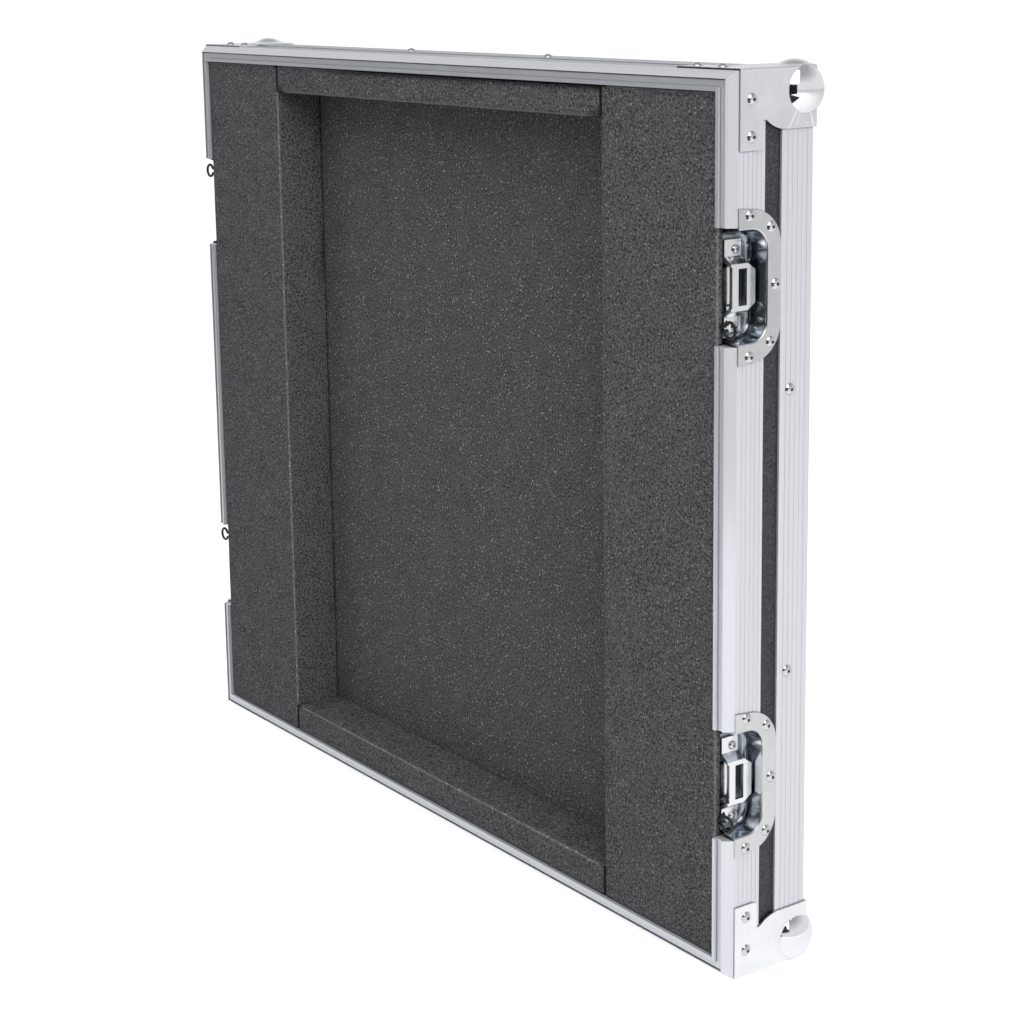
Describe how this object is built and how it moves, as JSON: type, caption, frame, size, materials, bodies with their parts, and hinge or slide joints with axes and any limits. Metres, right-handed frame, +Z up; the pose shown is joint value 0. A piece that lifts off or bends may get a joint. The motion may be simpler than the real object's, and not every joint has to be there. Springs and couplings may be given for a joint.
{
  "type": "rack case cover",
  "caption": "Lift-off foam-lined cover of a 19 inch rack flight case with ball corners and recessed latch keepers.",
  "frame": {"origin": "on the floor plane under the middle of the cover's bounding box, which stands upright on its bottom edge", "axes": "+Z up, -Y out of the open foam-lined side towards the case body, +X towards the side whose keepers have their eye at the lower end"},
  "size_m": [0.5538, 0.0654, 0.4794],
  "materials": {
    "laminate": "plywood with fine textured black laminate",
    "aluminium": "satin anodised, fluted",
    "corner_plate": "bright zinc plate, polished ball",
    "dish_plate": "bright zinc plate",
    "keeper_plate": "bright zinc plate",
    "rivet": "bright plate",
    "foam": "open cell charcoal foam"
  },
  "bodies": {
    "root": {"back_panel": "laminate", "board_left": "laminate", "board_right": "laminate", "board_top": "laminate", "board_bottom": "laminate", "rim_top": "aluminium", "rim_bottom": "aluminium", "rim_left_upper": "aluminium", "rim_left_middle": "aluminium", "rim_left_lower": "aluminium", "rim_right_upper": "aluminium", "rim_right_middle": "aluminium", "rim_right_lower": "aluminium", "angle_left": "aluminium", "angle_right": "aluminium", "angle_top": "aluminium", "angle_bottom": "aluminium", "corner_top_left": "corner_plate", "corner_top_right": "corner_plate", "corner_bottom_left": "corner_plate", "corner_bottom_right": "corner_plate", "dish_left_upper": "dish_plate", "dish_left_lower": "dish_plate", "dish_right_upper": "dish_plate", "dish_right_lower": "dish_plate", "keeper_left_upper": "keeper_plate", "keeper_left_lower": "keeper_plate", "keeper_right_upper": "keeper_plate", "keeper_right_lower": "keeper_plate", "rivets_corner_side": "rivet", "rivets_corner_top": "rivet", "rivets_corner_bottom": "rivet", "rivets_corner_back": "rivet", "rivets_dish": "rivet", "rivets_keeper": "rivet", "rivets_angle": "rivet", "foam_back": "foam", "foam_left": "foam", "foam_right": "foam", "foam_top": "foam", "foam_bottom": "foam"}
  },
  "joints": []
}
